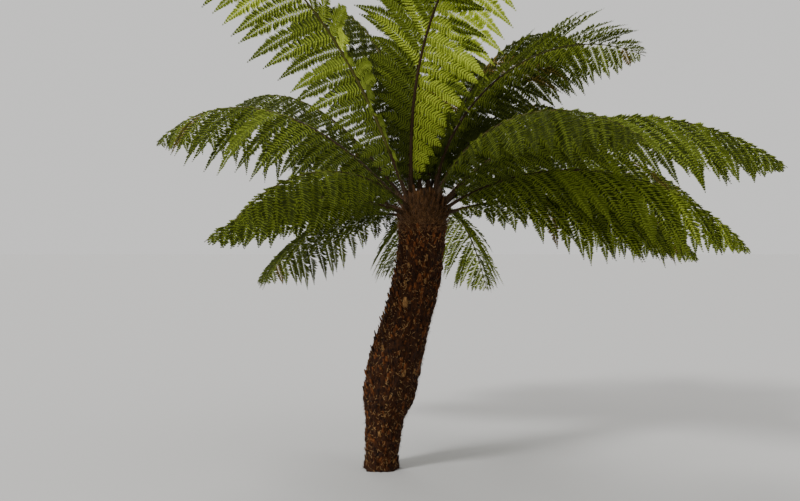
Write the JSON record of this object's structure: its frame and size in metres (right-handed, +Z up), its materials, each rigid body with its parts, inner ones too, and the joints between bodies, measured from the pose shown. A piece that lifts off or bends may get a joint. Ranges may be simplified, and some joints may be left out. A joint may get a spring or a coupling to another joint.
{
  "type": "tree fern",
  "caption": "Whole tree fern: a short leaning fibrous trunk with a flat foot, a domed crown head and a wide crown of arching, twice-cut fronds.",
  "frame": {"origin": "centre of the trunk's flat foot, at ground level", "axes": "+Z up, +X towards the side that the trunk leans to, +Y away from a viewer who sees it lean to the right"},
  "size_m": [3.7496, 2.9766, 3.2114],
  "materials": {
    "trunk_bark": "rough",
    "crown_fibre": "rough",
    "frond_leaf": "satin"
  },
  "bodies": {
    "root": {"trunk": "trunk_bark", "crown_head": "crown_fibre", "frond_01_inner": "frond_leaf", "frond_01_outer": "frond_leaf", "frond_02_inner": "frond_leaf", "frond_02_outer": "frond_leaf", "frond_03_inner": "frond_leaf", "frond_03_outer": "frond_leaf", "frond_04_inner": "frond_leaf", "frond_04_outer": "frond_leaf", "frond_05": "frond_leaf", "frond_06_inner": "frond_leaf", "frond_06_outer": "frond_leaf", "frond_07_inner": "frond_leaf", "frond_07_outer": "frond_leaf", "frond_08_inner": "frond_leaf", "frond_08_outer": "frond_leaf", "frond_09": "frond_leaf", "frond_10": "frond_leaf", "frond_11_inner": "frond_leaf", "frond_11_outer": "frond_leaf", "frond_12_inner": "frond_leaf", "frond_12_outer": "frond_leaf", "frond_13_inner": "frond_leaf", "frond_13_outer": "frond_leaf", "frond_14_inner": "frond_leaf", "frond_14_outer": "frond_leaf", "frond_15_inner": "frond_leaf", "frond_15_outer": "frond_leaf", "frond_16": "frond_leaf", "frond_17_inner": "frond_leaf", "frond_17_outer": "frond_leaf", "frond_18_inner": "frond_leaf", "frond_18_outer": "frond_leaf", "frond_19": "frond_leaf", "frond_20": "frond_leaf", "frond_21_inner": "frond_leaf", "frond_21_outer": "frond_leaf", "frond_22": "frond_leaf", "frond_23_inner": "frond_leaf", "frond_23_outer": "frond_leaf", "frond_24_inner": "frond_leaf", "frond_24_outer": "frond_leaf", "frond_25_inner": "frond_leaf", "frond_25_outer": "frond_leaf", "frond_26": "frond_leaf"}
  },
  "joints": []
}
